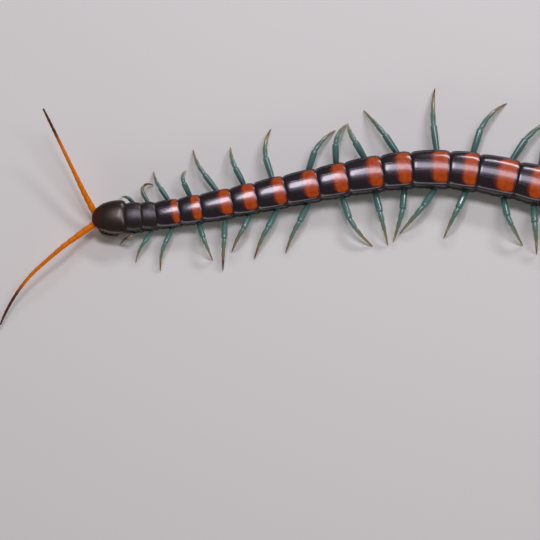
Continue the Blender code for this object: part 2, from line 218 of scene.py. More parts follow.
def mirrored(profile):
    """A half profile that runs from the top middle to the bottom middle, made whole."""
    return list(profile) + [(-out, up) for out, up in reversed(profile[1:-1])]


def apply_modifier(piece, kind, **settings):
    """Adds a modifier to a piece and applies it."""
    bpy.context.view_layer.objects.active = piece
    modifier = piece.modifiers.new(kind.lower(), kind)
    for name, value in settings.items():
        setattr(modifier, name, value)
    bpy.ops.object.modifier_apply(modifier=modifier.name)


def rounded_off(piece):
    """Smooths a piece with a subdivision surface."""
    apply_modifier(piece, "SUBSURF", levels=1, render_levels=1)


def drawn(name, outline, rows):
    """A smooth closed piece, drawn out from its outline."""
    piece = outline_start(name, outline)
    draw_out(rows)
    bpy.ops.mesh.select_all(action="SELECT")
    bpy.ops.mesh.normals_make_consistent(inside=False)
    leave_edit()
    rounded_off(piece)
    return piece


def place_straight(piece, distance, outwards=0.0, height=BELLY_HEIGHT):
    """Moves a straight piece to its distance along the body, before it is bent."""
    for vert in piece.data.vertices:
        vert.co += Vector((distance, outwards, height))


def mark(piece, rule):
    """Keeps three numbers for each vertex, worked out from its place, for the material."""
    layer = piece.data.attributes.new("place", "FLOAT_VECTOR", "POINT")
    values = [number for vert in piece.data.vertices for number in rule(vert.co)]
    layer.data.foreach_set("vector", values)


def settle(piece, finish, slot, *nodes, line=BODY_POINTS):
    """Bends a piece along its line, brings it to metres and hands it to the frame."""
    track = guide(line)
    apply_modifier(piece, "CURVE", object=track, deform_axis="POS_X")
    bpy.data.objects.remove(track)
    choose(piece)
    piece.scale = (MM, MM, MM)
    bpy.ops.object.transform_apply(location=True, rotation=True, scale=True)
    piece.data.materials.clear()
    piece.data.materials.append(finish)
    bpy.ops.object.shade_smooth_by_angle(angle=math.radians(SHARP_FROM))
    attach(piece, "root")
    if nodes:
        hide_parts(*nodes)


class Value:
    """A number in a shader; Python's operators on it add Math nodes."""

    def __init__(self, finish, socket):
        self.finish = finish
        self.socket = socket

    def math(self, operation, *others):
        """The result of a Math node with this number and others."""
        sockets = dict(enumerate((self, *others)))
        return self.finish.node("ShaderNodeMath", {"operation": operation}, sockets)

    def __add__(self, other):
        return self.math("ADD", other)

    def __sub__(self, other):
        return self.math("SUBTRACT", other)

    def __mul__(self, other):
        return self.math("MULTIPLY", other)

    def __truediv__(self, other):
        return self.math("DIVIDE", other)

    def __rsub__(self, other):
        return self * -1.0 + other

    def __pow__(self, other):
        return self.math("POWER", other)

    def __abs__(self):
        return self.math("ABSOLUTE")

    __radd__ = __add__
    __rmul__ = __mul__

    def rise(self, start, end):
        """0 before start, 1 after end, and a smooth step between; end may be the lower one."""
        part = ((self - start) / (end - start)).math("MAXIMUM", 0.0).math("MINIMUM", 1.0)
        return part * part * (3.0 - 2.0 * part)


class Finish:
    """A material on the Principled shader, with constants set straight on its sockets."""

    def __init__(self, name, constants):
        self.material = bpy.data.materials.new(name)
        self.material.use_nodes = True
        self.tree = self.material.node_tree
        self.shader = self.tree.nodes["Principled BSDF"]
        for socket, value in constants.items():
            self.set(socket, value)

    def node(self, kind, settings=None, sockets=None, output=0):
        """One node's output; ramp stops are given as (place, colour) pairs."""
        made = self.tree.nodes.new(kind)
        for name, value in (settings or {}).items():
            if name == "stops":
                elements = made.color_ramp.elements
                for place, colour in value[1:-1]:
                    elements.new(place).color = (*colour, 1.0)
                for which in (0, -1):
                    elements[which].position = value[which][0]
                    elements[which].color = (*value[which][1], 1.0)
            else:
                setattr(made, name, value)
        for name, value in (sockets or {}).items():
            self.feed(made.inputs[name], value)
        return Value(self, made.outputs[output])

    def feed(self, socket, value):
        """Links a value to a socket, or sets a constant on it."""
        if isinstance(value, Value):
            self.tree.links.new(value.socket, socket)
        elif isinstance(value, tuple) and len(value) == 3 and socket.type == "RGBA":
            socket.default_value = (*value, 1.0)
        else:
            socket.default_value = value

    def mix(self, factor, first, second):
        """A colour between two colours."""
        sockets = {0: factor, 6: first, 7: second}
        return self.node("ShaderNodeMix", {"data_type": "RGBA"}, sockets, output=2)

    def marks(self):
        """The three numbers that mark() kept."""
        kept = self.node("ShaderNodeAttribute", {"attribute_name": "place"}, output="Vector")
        split = "ShaderNodeSeparateXYZ"
        return [self.node(split, None, {0: kept}, output=axis) for axis in range(3)]

    def noise(self, size, detail=3.0, stretch=(1.0, 1.0, 1.0)):
        """Noise between 0 and 1 with grains of a size in millimetres."""
        spot = self.node("ShaderNodeTexCoord", output="Object")
        spot = self.node("ShaderNodeMapping", None, {0: spot, "Scale": stretch})
        sockets = {"Vector": spot, "Scale": 1 / (size * MM), "Detail": detail}
        return self.node("ShaderNodeTexNoise", None, sockets)

    def set(self, socket, value):
        """Feeds one of the shader's own sockets."""
        self.feed(self.shader.inputs[socket], value)

    def done(self, colour, roughness, height, depth, strength):
        """The material, with relief from a height between 0 and 1 and its depth in millimetres."""
        sockets = {"Height": height, "Distance": depth * MM, "Strength": strength}
        self.set("Normal", self.node("ShaderNodeBump", None, sockets))
        self.set("Base Color", colour)
        self.set("Roughness", roughness)
        return self.material


def skin_finish():
    """Dark, slightly leathery skin with fine creases."""
    finish = Finish("flank_skin", {"Specular IOR Level": 0.35})
    blotches = finish.noise(1.6, 4.0)
    creases = finish.noise(0.25, 5.0, (1.0, 1.0, 0.45))
    colour = finish.mix(blotches.rise(0.35, 0.7), (0.006, 0.0045, 0.0045), (0.02, 0.012, 0.009))
    colour = finish.mix(creases.rise(0.5, 0.75) * 0.5, colour, (0.03, 0.02, 0.014))
    return finish.done(colour, 0.42 + 0.2 * creases, creases, 0.05, 0.9)


def trunk_skin():
    """The skin of the whole trunk, drawn out fold by fold from the neck to the tail."""
    first = plate_half_width(1, 0.0)
    rows = [(x, first * wide, first * tall) for x, wide, tall in NECK]
    for number, length in enumerate(PLATE_LENGTHS, start=1):
        for part, wide, tall in SKIN_FOLDS:
            half = plate_half_width(number, part)
            rows.append((plate_start(number) + part * length, half * wide, half * tall))
    end = plate_start(PLATE_COUNT + 1)
    last = plate_half_width(PLATE_COUNT, 1.0)
    rows += [(end + place, last * size, last * size) for place, size in TAIL]
    rows = [(x, wide, tall * 2 * HEIGHT_PER_WIDTH) for x, wide, tall in rows]
    skin = drawn("trunk_skin", mirrored(SKIN_OUTLINE), rows)
    place_straight(skin, 0.0)
    nodes = [f"trunk_{index:02d}" for index in range(1, TRUNK_NODES + 1)]
    settle(skin, skin_finish(), "body_shell", *nodes)


trunk_skin()

# Back plates
# Each segment has one hard, glossy plate of hardened skin on its back. Its rear edge lies over
# the next plate, and black gives way to an orange band across its rear part.

PLATE_BLANK = 4.0
PLATE_HALF = 3.0
PLATE_THICKNESS = 0.17
# The arc across: height at the sides as a part of the height, then the powers of its curve.
DOME = (0.6, 2.2, 0.54)
# Columns outwards from the middle as parts of the half width, and the furrow's depth at three.
PLATE_COLUMNS = (
    0.0, 0.15, 0.285, 0.315, 0.33, 0.345, 0.375, 0.5, 0.63, 0.74, 0.83, 0.885, 0.915, 0.94,
    0.962, 0.985, 1.0,
)
FURROW = {0.315: 0.0005, 0.33: 0.003, 0.345: 0.0005}
# Rows of the blank: place in millimetres, then width and height there.
PLATE_ROWS = (
    (-0.4, 0.84, 0.9), (-0.12, 0.875, 0.943), (0.06, 0.895, 0.963), (0.22, 0.918, 0.98),
    (0.45, 0.945, 0.992), (0.8, 0.968, 1.0), (1.4, 0.992, 1.006), (2.0, 1.004, 1.009),
    (2.6, 1.004, 1.01), (3.1, 0.996, 1.008), (3.45, 0.982, 1.004), (3.7, 0.966, 1.0),
    (3.86, 0.952, 0.996), (3.96, 0.94, 0.988), (4.0, 0.932, 0.977),
)
STRETCH_FROM = (1.1, 1.7, 2.3, 2.9)
# The rear corners are drawn forwards: from how far out, and by how much.
CORNERS = ((0.86, 0.06), (0.92, 0.08), (0.96, 0.1), (0.985, 0.12))
CORNER_REACHES = (0.15, 0.5)
# The rim along the sides: from and to how far out, and how high; then its ends along the plate.
RIM = ((0.9, 0.93, -0.05), (0.93, 0.955, 0.05), (0.955, 0.975, 0.12), (0.975, 0.99, 0.07))
RIM_ENDS = (0.3, 3.9)
RIM_PLATES = range(7, 21)
# How far each plate stands before its segment, and how far the last one's sides are pulled in.
PLATE_FORWARD = 0.35
LAST_PULL = 1.1
# Where the orange band begins on each plate, as a part of its length.
BAND_STARTS = (
    2.0, 2.0, 0.67, 0.55, 0.59, 0.45, 0.575, 0.54, 0.5, 0.575, 0.475, 0.53, 0.47, 0.475, 0.46,
    0.51, 0.45, 0.52, 0.47, 0.52, 0.46,
)


def dome(out):
    """Height of a back plate at a part of its half width, as a part of the body's height."""
    edge, power, root = DOME
    return edge + (1 - edge) * max(0.0, 1 - abs(out) ** power) ** root


def open_blank(name, half, rows, facing):
    """A straight open plate from half its arc across; its faces look up (1) or down (-1)."""
    arc = [(-out, up) for out, up in reversed(half[1:])] + list(half)
    blank = outline_start(name, arc, closed=False)
    draw_out(rows)
    leave_edit()
    if blank.data.polygons[0].normal.z * facing < 0:
        blank.data.flip_normals()
    return blank


def plate_blank():
    """One straight back plate with two fine furrows and rounded rear corners."""
    tall = 2 * PLATE_HALF * HEIGHT_PER_WIDTH
    half = [(out * PLATE_HALF, (dome(out) - FURROW.get(out, 0.0)) * tall) for out in PLATE_COLUMNS]
    plate = open_blank("plate_blank", half, PLATE_ROWS, 1)
    edit(plate)
    for out, pull in CORNERS:
        for reach in CORNER_REACHES:
            pick(plate, lambda co: abs(co.y) > out * PLATE_HALF and co.x > PLATE_BLANK - reach)
            bpy.ops.transform.translate(value=(-pull, 0, 0))
    leave_edit()
    return plate


def rimmed(blank):
    """A copy of the blank with its side margins raised to a rim inside a shallow gutter."""
    plate = copy_of(blank, "rimmed_blank")
    front, rear = RIM_ENDS
    edit(plate)
    for low, high, lift in RIM:
        pick(plate, lambda co: low < edge_part(co) < high and front < co.x < rear)
        bpy.ops.transform.translate(value=(0, 0, lift))
    leave_edit()
    return plate


def edge_part(co):
    """How far out a place of the blank lies, as a part of the blank's own half width there."""
    widths = [(x, wide) for x, wide, _ in PLATE_ROWS]
    return abs(co.y) / (PLATE_HALF * between(widths, co.x))


def copy_of(piece, name):
    """A copy of a piece with its own mesh."""
    made = piece.copy()
    made.data = piece.data.copy()
    made.name = name
    bpy.context.scene.collection.objects.link(made)
    return made


def stretch(piece, length):
    """Lengthens the middle of a straight blank, so that its ends keep their form."""
    edit(piece)
    for place in reversed(STRETCH_FROM):
        pick(piece, lambda co: co.x > place)
        bpy.ops.transform.translate(value=((length - PLATE_BLANK) / len(STRETCH_FROM), 0, 0))
    leave_edit()


def taper(piece, length, front, rear, axes=(1, 2)):
    """Scales a straight piece along some axes, evenly from its front size to its rear size."""
    for vert in piece.data.vertices:
        size = front + (rear - front) * max(0.0, vert.co.x) / length
        for axis in axes:
            vert.co[axis] *= size


def end_sizes(number, unit):
    """The half widths at the front and the rear of a plate, in units."""
    return [plate_half_width(number, part) / unit for part in (0.0, 1.0)]


def plate_finish():
    """Glossy black shell with a soft-edged orange band and a thin brown rear rim, partly a painted
    highlight.
    """
    finish = Finish("back_shell", {
        "Coat Roughness": 0.1, "Specular IOR Level": 0.6, "Specular Tint": (0.94, 0.88, 1.0),
    })
    along, across, start = finish.marks()
    plain = start.rise(0.9, 1.1)
    wander = finish.noise(0.9, 3.0) - 0.5
    grain = finish.noise(0.12, 4.0)
    pits = finish.noise(0.05, 2.0)
    spot = finish.node("ShaderNodeCombineXYZ", None, {0: along, 1: across * 14.0, 2: start * 40.0})
    streaks = finish.node("ShaderNodeTexNoise", None, {"Vector": spot, "Scale": 1.3, "Detail": 4.0})
    side = abs(across)
    depth = (along - start) / (1.0 - start)
    corner = (abs(depth * 2.0 - 1.05) ** 2.6) * 0.15
    reach = side + corner + 0.08 * wander
    front = start - 0.02 + 0.07 * side ** 4.0 + 0.06 * wander
    band = along.rise(front - 0.1, front + 0.14)
    sides = reach.rise(0.93, 0.78)
    rim = along.rise(0.985, 0.925)
    cloud = finish.noise(0.7, 3.0).rise(0.3, 0.7)
    orange = finish.mix(cloud, (0.46, 0.052, 0.0002), (0.58, 0.094, 0.0004))
    black = finish.mix(finish.noise(1.1, 3.0), (0.01, 0.006, 0.01), (0.024, 0.015, 0.02))
    black = finish.mix(plain * 0.7, black, (0.022, 0.015, 0.01))
    # The rear rim: a brown edge, lightened so that it also stands in as a painted highlight along
    # the plate's rear edge.
    black = finish.mix(along.rise(0.965, 0.995) * 0.8, black, (0.13, 0.045, 0.028))
    patch = band * sides * rim
    orange = finish.mix(patch.rise(0.35, 1.0), (0.27, 0.018, 0.0003), orange)
    finish.set("Coat Weight", 0.6 - 0.25 * side.rise(0.7, 0.95) - 0.57 * plain)
    roughness = 0.15 + 0.06 * grain + 0.1 * streaks + 0.1 * plain
    height = 0.5 * grain + 0.15 * pits + 0.8 * streaks
    return finish.done(finish.mix(patch, black, orange), roughness, height, 0.012, 0.7)


def back_plates():
    """A stretched copy of a blank for each segment, bent into place."""
    blank = plate_blank()
    blank_with_rim = rimmed(blank)
    finish = plate_finish()
    for number, (length, band) in enumerate(zip(PLATE_LENGTHS, BAND_STARTS), start=1):
        source = blank_with_rim if number in RIM_PLATES else blank
        plate = copy_of(source, f"back_plate_{number:02d}")
        stretch(plate, length)
        taper(plate, length, *end_sizes(number, PLATE_HALF))
        apply_modifier(plate, "SOLIDIFY", thickness=PLATE_THICKNESS, offset=-1.0)
        rounded_off(plate)
        half = plate_half_width(number)
        mark(plate, lambda co: (co.x / length, co.y / half, band))
        if number == PLATE_COUNT:
            for vert in plate.data.vertices:
                vert.co.x -= LAST_PULL * (vert.co.y / half) ** 2 * max(0.0, vert.co.x / length)
        place_straight(plate, plate_start(number) - PLATE_FORWARD)
        settle(plate, finish, "body_shell")
    bpy.data.objects.remove(blank)
    bpy.data.objects.remove(blank_with_rim)


back_plates()

# Belly plates
# A flatter plate with two long furrows closes each segment below. They are olive brown, and
# the skin between them is soft.

BELLY_REACH = 0.74
BELLY_THICKNESS = 0.12
# Columns outwards as parts of the plate's half width, with their height in millimetres.
BELLY_COLUMNS = (
    (0.0, 0.015), (0.2, 0.0), (0.36, 0.0), (0.4, 0.02), (0.43, 0.075), (0.46, 0.02), (0.5, 0.0),
    (0.7, 0.0), (0.86, 0.03), (0.95, 0.1), (1.0, 0.2),
)
# Rows of the blank: place in millimetres, then width there.
BELLY_ROWS = (
    (-0.22, 0.86), (0.0, 0.92), (0.12, 0.96), (0.4, 0.985), (0.8, 1.0), (1.4, 1.0), (2.0, 1.0),
    (2.6, 1.0), (3.2, 0.995), (3.6, 0.98), (3.82, 0.95), (3.92, 0.9),
)


def belly_finish():
    """Satin olive-brown shell, paler along its middle."""
    finish = Finish("belly_shell", {"Coat Weight": 0.3, "Coat Roughness": 0.2})
    _, across, _ = finish.marks()
    cloud = finish.noise(0.8, 4.0)
    grain = finish.noise(0.1, 3.0)
    pale = abs(across).rise(0.5, 0.1) * 0.6
    colour = finish.mix(cloud, (0.035, 0.04, 0.032), (0.075, 0.075, 0.05))
    colour = finish.mix(pale, colour, (0.13, 0.13, 0.09))
    return finish.done(colour, 0.3 + 0.12 * grain, grain, 0.012, 0.6)


def belly_plates():
    """A stretched copy of one blank under each segment."""
    rows = [(x, wide, 1.0) for x, wide in BELLY_ROWS]
    blank = open_blank("belly_blank", BELLY_COLUMNS, rows, -1)
    finish = belly_finish()
    for number, length in enumerate(PLATE_LENGTHS, start=1):
        plate = copy_of(blank, f"belly_plate_{number:02d}")
        stretch(plate, length)
        ends = end_sizes(number, 1 / BELLY_REACH)
        taper(plate, length, *ends, axes=(1,))
        apply_modifier(plate, "SOLIDIFY", thickness=BELLY_THICKNESS, offset=-1.0)
        rounded_off(plate)
        mark(plate, lambda co: (co.x / length, co.y / ends[0], 0.0))
        place_straight(plate, plate_start(number))
        settle(plate, finish, "body_shell")
    bpy.data.objects.remove(blank)


belly_plates()

# Side plates and breathing holes
# Small hard plates ring each leg root in the skin of the flank. Nine segments also have an
# oval breathing hole there, with a raised black rim.

SIDES = (("left", -1), ("right", 1))
# Around a leg root: along from it as a part of the segment, outwards and up as parts of the
# body, then half the length as a part of the segment and half the height.
SIDE_PLATES = (
    (-0.2, 0.925, 0.46, 0.112, 0.2), (0.15, 0.925, 0.46, 0.1, 0.18),
    (-0.23, 0.94, 0.2, 0.084, 0.24), (0.17, 0.935, 0.2, 0.068, 0.2),
)
SIDE_PLATE_DEPTH = 0.11
# Breathing holes: place along, outwards and up, the radii of the rim, its stretch and lean.
HOLE_SEGMENTS = (3, 5, 8, 10, 12, 14, 16, 18, 20)
HOLE_PLACE = (-0.22, 0.955, 0.47)
HOLE_SIZE = (0.2, 0.06)
HOLE_STRETCH = (1.25, 0.75, 1.0)
HOLE_LEAN = 40.0


def joined(name, pieces):
    """Several objects made into one."""
    choose(*pieces)
    bpy.ops.object.join()
    pieces[0].name = name
    return pieces[0]


def shell_finish(name, low, high, roughness=0.24):
    """Plain glossy shell between two colours."""
    finish = Finish(name, {"Coat Weight": 0.5, "Coat Roughness": 0.12})
    grain = finish.noise(0.1, 3.0)
    colour = finish.mix(finish.noise(0.7, 3.0).rise(0.3, 0.7), low, high)
    return finish.done(colour, roughness + 0.1 * grain, grain, 0.01, 0.5)


def button(place, size):
    """A low rounded plate set in the flank, sunk to half its depth."""
    bpy.ops.mesh.primitive_uv_sphere_add(segments=16, ring_count=8, radius=1.0, location=place)
    made = bpy.context.object
    made.scale = size
    bpy.ops.object.transform_apply(location=True, rotation=True, scale=True)
    return made


def breathing_hole(distance, sign, half, tall):
    """An oval rim that leans with the flank."""
    along, out, up = HOLE_PLACE
    major, minor = HOLE_SIZE
    bpy.ops.mesh.primitive_torus_add(
        major_segments=24, minor_segments=8, major_radius=major, minor_radius=minor,
        location=(distance + along, sign * out * half, BELLY_HEIGHT + up * tall),
        rotation=(-sign * math.radians(90 - HOLE_LEAN), 0, 0),
    )
    made = bpy.context.object
    made.scale = HOLE_STRETCH
    bpy.ops.object.transform_apply(location=True, rotation=True, scale=True)
    return made


def flank_parts():
    """Side plates and breathing holes of both sides."""
    plates = shell_finish("side_shell", (0.01, 0.008, 0.007), (0.03, 0.018, 0.012))
    rims = shell_finish("hole_rim", (0.012, 0.009, 0.008), (0.035, 0.022, 0.015), 0.2)
    for side, sign in SIDES:
        buttons = []
        holes = []
        for number, length in enumerate(PLATE_LENGTHS, start=1):
            half = plate_half_width(number)
            tall = 2 * half * HEIGHT_PER_WIDTH
            middle = plate_start(number) + LEG_PLACE * length
            for along, out, up, long, high in SIDE_PLATES:
                if number == PLATE_COUNT and along > 0:
                    continue
                there = plate_half_width(number, LEG_PLACE + along)
                spot = (middle + along * length, sign * out * there, BELLY_HEIGHT + up * tall)
                buttons.append(button(spot, (long * length, SIDE_PLATE_DEPTH, high)))
            if number in HOLE_SEGMENTS:
                holes.append(breathing_hole(middle, sign, half, tall))
        settle(joined(f"side_plates_{side}", buttons), plates, "body_shell")
        settle(joined(f"breathing_holes_{side}", holes), rims, "body_shell")


flank_parts()

# The head
# A single domed plate covers the head and juts over a soft-sided capsule. Its front corners
# carry four simple eyes a side, and two collars beside a notch hold the feelers.

# The outline from above: its widest place, then the reach and roundness of front and rear.
HEAD_WIDEST = 4.2
HEAD_HALF_WIDTH = 3.03
HEAD_FRONT = (4.62, 2.0)
HEAD_REAR = (1.5, 3.2)
HEAD_RIM_HEIGHT = 2.72
HEAD_DOME = (1.1, 2.6, 0.62)
HEAD_THICKNESS = 0.16
# The capsule's size as a part of the plate's, its depth, and the powers of its curve.
HEAD_CAPSULE = (0.93, 0.72, 3.0, 0.5)
# The notch at the front: from how far forward, its half width, and its push back and down.
NOTCH = (-3.9, 0.3, 0.06, -0.036)
# Each eye's place along, and how far out it lies as a part of the head's half width there.
EYE_PLACES = ((1.2, 0.84), (1.24, 0.95), (1.6, 0.86), (1.64, 0.96))
EYE_RADIUS = 0.135
EYE_SUNK = 0.6


def block_ball(name, cuts=15):
    """A ball of radius 1 made from a cube, so that it has no poles."""
    bpy.ops.mesh.primitive_cube_add(size=2.0)
    ball = bpy.context.object
    ball.name = name
    edit(ball)
    bpy.ops.mesh.select_all(action="SELECT")
    bpy.ops.mesh.subdivide(number_cuts=cuts)
    leave_edit()
    for vert in ball.data.vertices:
        vert.co.normalize()
    return ball


def head_reach(angle):
    """How far the head's outline lies from its widest place, seen from above."""
    reach, power = HEAD_FRONT if math.cos(angle) < 0 else HEAD_REAR
    back = math.copysign(reach * abs(math.cos(angle)) ** (2 / power), math.cos(angle))
    side = math.copysign(HEAD_HALF_WIDTH * abs(math.sin(angle)) ** (2 / power), math.sin(angle))
    return back, side


def head_form(ball, size, rise, power, root):
    """Gives a ball the head's outline from above, at a size, and a dome of that rise."""
    for vert in ball.data.vertices:
        radius = min(1.0, math.hypot(vert.co.x, vert.co.y))
        back, side = head_reach(math.atan2(vert.co.y, vert.co.x))
        height = rise * (1 - radius ** power) ** root
        vert.co = (back * radius * size, side * radius * size, math.copysign(height, vert.co.z))


def head_finish():
    """Brown-black shell that turns red-brown towards its front and its rear edge."""
    finish = Finish("head_shell", {
        "Coat Weight": 0.3, "Coat Roughness": 0.12, "Specular IOR Level": 0.45,
        "Specular Tint": (1.0, 0.84, 0.74),
    })
    along, _, _ = finish.marks()
    grain = finish.noise(0.12, 4.0)
    cloud = finish.noise(0.9, 3.0)
    black = finish.mix(cloud, (0.012, 0.008, 0.006), (0.03, 0.019, 0.012))
    front = (along + 0.12 * cloud).rise(0.42, 0.02)
    colour = finish.mix(front * 0.75, black, (0.075, 0.018, 0.007))
    rear = along.rise(0.94, 0.975)
    colour = finish.mix(rear * 0.8, colour, (0.2, 0.09, 0.055))
    return finish.done(colour, 0.26 + 0.1 * grain, grain, 0.012, 0.6)


def head_plate():
    """The domed plate on the head, with a small notch at its front."""
    plate = block_ball("head_plate")
    edit(plate)
    pick(plate, lambda co: co.z < -0.01)
    bpy.ops.mesh.delete(type="VERT")
    leave_edit()
    head_form(plate, 1.0, *HEAD_DOME)
    edit(plate)
    front, width, back, down = NOTCH
    pick(plate, lambda co: co.x < front and abs(co.y) < width)
    bpy.ops.transform.translate(value=(back, 0, down))
    leave_edit()
    apply_modifier(plate, "SOLIDIFY", thickness=HEAD_THICKNESS, offset=-1.0)
    rounded_off(plate)
    mark(plate, lambda co: ((co.x + HEAD_WIDEST) / (HEAD_WIDEST + HEAD_REAR[0]), co.y, 0.0))
    place_straight(plate, HEAD_WIDEST, 0.0, HEAD_RIM_HEIGHT)
    settle(plate, head_finish(), "head_shell", "head")


def head_capsule():
    """The head below its plate."""
    capsule = block_ball("head_capsule", 11)
    head_form(capsule, *HEAD_CAPSULE)
    place_straight(capsule, HEAD_WIDEST, 0.0, HEAD_RIM_HEIGHT)
    finish = shell_finish("head_underside", (0.03, 0.01, 0.006), (0.1, 0.03, 0.012))
    settle(capsule, finish, "head_shell")


def eyes():
    """Four simple eyes on each front corner of the head plate."""
    finish = Finish("eye_lens", {"Base Color": (0.004, 0.004, 0.006), "Coat Weight": 1.0})
    finish.set("Roughness", 0.08 + 0.1 * finish.noise(0.1))
    reach, bow = HEAD_FRONT
    rise, power, root = HEAD_DOME
    for side, sign in SIDES:
        beads = []
        for place, out in EYE_PLACES:
            part = (HEAD_WIDEST - place) / reach
            half = (1 - part ** bow) ** (1 / bow)
            radius = (part ** bow + (half * out) ** bow) ** (1 / bow)
            height = HEAD_RIM_HEIGHT + rise * max(0.0, 1 - radius ** power) ** root
            spot = (place, sign * HEAD_HALF_WIDTH * half * out, height - EYE_RADIUS * EYE_SUNK)
            bpy.ops.mesh.primitive_uv_sphere_add(
                segments=20, ring_count=12, radius=EYE_RADIUS, location=spot,
            )
            bpy.ops.object.transform_apply(location=True)
            beads.append(bpy.context.object)
        settle(joined(f"eyes_{side}", beads), finish.material, "head_shell")


head_plate()
head_capsule()
eyes()

# The fangs and the plate that carries them
# The first legs of the trunk are poison fangs. A broad plate under the neck carries them and
# bears short black teeth in front. Each fang has a thick root and a black, curved claw.

# The plate's outline from the front, and its rows: place, half width and height.
JAW_OUTLINE = (
    (0.0, 1.0), (0.4, 0.99), (0.75, 0.93), (0.93, 0.75), (1.0, 0.5), (0.96, 0.24), (0.85, 0.08),
    (0.5, 0.0), (0.0, 0.03),
)
JAW_ROWS = (
    (3.55, 0.95, 0.7), (3.8, 1.25, 0.85), (4.3, 1.85, 0.95), (4.8, 2.35, 1.0), (5.3, 2.55, 1.0),
    (5.7, 2.6, 1.0), (6.1, 2.4, 1.0), (6.4, 1.8, 0.9), (6.6, 1.2, 0.7),
)
JAW_BOTTOM = 0.72
JAW_TALL = 1.06
# Teeth: how far out, the front place and height, how far back per width, radius and length.
TOOTH_PLACES = (0.16, 0.34, 0.52, 0.72)
TOOTH_FRONT = (3.47, 1.1)
TOOTH_BACK = 0.25
TOOTH = (0.09, 0.34)
# Fangs: place along and outwards, length, turn outwards at the root and the tip, and height.
FANG_ROOT = (3.98, 1.93)
FANG_LENGTH = 4.6
FANG_TURN = (40, -85)
FANG_HEIGHT = 1.25
FANG_STEPS = 24
# Place along the fang, then half width and half height.
FANG_ROWS = (
    (0.0, 0.5, 0.36), (0.12, 0.64, 0.46), (0.45, 0.72, 0.5), (1.0, 0.74, 0.52), (1.5, 0.68, 0.5),
    (1.85, 0.57, 0.46), (1.93, 0.47, 0.4), (2.0, 0.52, 0.43), (2.14, 0.54, 0.44),
    (2.22, 0.46, 0.4), (2.29, 0.51, 0.42), (2.45, 0.53, 0.42), (2.54, 0.44, 0.37),
    (2.62, 0.49, 0.4), (2.85, 0.44, 0.37), (3.2, 0.34, 0.32), (3.7, 0.25, 0.24),
    (4.15, 0.17, 0.17), (4.45, 0.09, 0.09), (4.6, 0.03, 0.03),
)
# The two short rings between root and claw: from, to, and the half width of their grooves.
FANG_RINGS = (1.9, 2.6, 0.49)
# The mouth feelers' line, from the root to the tip, and their thickness along it.
PALP_PATH = ((3.3, 1.15, 1.95), (2.6, 1.2, 1.9), (1.9, 0.95, 1.88), (1.45, 0.55, 1.9))
PALP_ROWS = (
    (0.0, 0.2), (0.6, 0.24), (0.75, 0.19), (0.85, 0.23), (1.5, 0.22), (1.62, 0.17), (1.72, 0.2),
    (2.2, 0.12), (2.35, 0.03),
)


def limb_route(start, heading, length, headings, heights, steps):
    """Points of a limb whose heading and height are read at places along it."""
    points = [start]
    step = length / steps
    for i in range(steps):
        turn = heading + math.radians(between(headings, (i + 0.5) * step))
        last = points[-1]
        height = between(heights, (i + 1) * step)
        ahead = (step * math.cos(turn), step * math.sin(turn))
        points.append(Vector((last.x + ahead[0], last.y + ahead[1], height)))
    return points


def limb(name, sides, rows):
    """A limb drawn out from a ring, through rows of x, half width and, if it differs, height."""
    turns = [2 * math.pi * (i + 0.5) / sides for i in range(sides)]
    ring = [(math.cos(turn), math.sin(turn)) for turn in turns]
    return drawn(name, ring, [(*row, row[-1])[:3] for row in rows])


def cone(sides, radius, tip, length, place, turn):
    """A cone that points up before it is turned."""
    bpy.ops.mesh.primitive_cone_add(
        vertices=sides, radius1=radius, radius2=tip, depth=length, location=place, rotation=turn,
    )
    bpy.ops.object.transform_apply(location=True, rotation=True)
    return bpy.context.object


def fang_finish():
    """Glossy red-brown shell that darkens to black over the claw."""
    finish = Finish("fang_shell", {"Coat Weight": 0.6, "Coat Roughness": 0.1})
    along, joint, _ = finish.marks()
    grain = finish.noise(0.12, 3.0)
    red = finish.mix(finish.noise(0.8, 3.0), (0.045, 0.008, 0.004), (0.11, 0.02, 0.008))
    colour = finish.mix(along.rise(0.6, 0.86), red, (0.008, 0.005, 0.005))
    colour = finish.mix(joint * 0.6, colour, (0.03, 0.008, 0.005))
    return finish.done(colour, 0.2 + 0.1 * grain, grain, 0.01, 0.5)


def fangs(finish):
    """Both fangs, drawn out ring by ring and bent forwards and inwards."""
    low, high, groove = FANG_RINGS
    for side, sign in SIDES:
        start, back, _ = on_body(FANG_ROOT[0], sign * FANG_ROOT[1], FANG_HEIGHT)
        heading = math.atan2(-back.y, -back.x)
        turns = ((0, -sign * FANG_TURN[0]), (FANG_LENGTH, -sign * FANG_TURN[1]))
        level = ((0, FANG_HEIGHT), (FANG_LENGTH, FANG_HEIGHT))
        points = limb_route(start, heading, FANG_LENGTH, turns, level, FANG_STEPS)
        fang = limb(f"fang_{side}", 16, FANG_ROWS)
        mark(fang, lambda co: (co.x / FANG_LENGTH, low < co.x < high and abs(co.y) < groove, 0.0))
        settle(fang, finish, "fang_shell", f"forcipule_{side}", line=points)


def jaw_plate(finish):
    """The plate under the neck, with four short black teeth on each side in front."""
    rows = [(x, wide, tall * JAW_TALL) for x, wide, tall in JAW_ROWS]
    plate = drawn("jaw_plate", mirrored(JAW_OUTLINE), rows)
    mark(plate, lambda co: (0.0, 0.0, 0.0))
    place_straight(plate, 0.0, 0.0, JAW_BOTTOM)
    settle(plate, finish, "fang_shell")
    teeth = []
    radius, length = TOOTH
    front, height = TOOTH_FRONT
    for out in TOOTH_PLACES:
        for _, sign in SIDES:
            place = (front + out * TOOTH_BACK, sign * out, height)
            teeth.append(cone(10, radius, radius / 4, length, place, (0, -math.pi / 2, 0)))
    black = shell_finish("tooth_shell", (0.006, 0.004, 0.004), (0.02, 0.008, 0.005))
    settle(joined("jaw_teeth", teeth), black, "fang_shell")


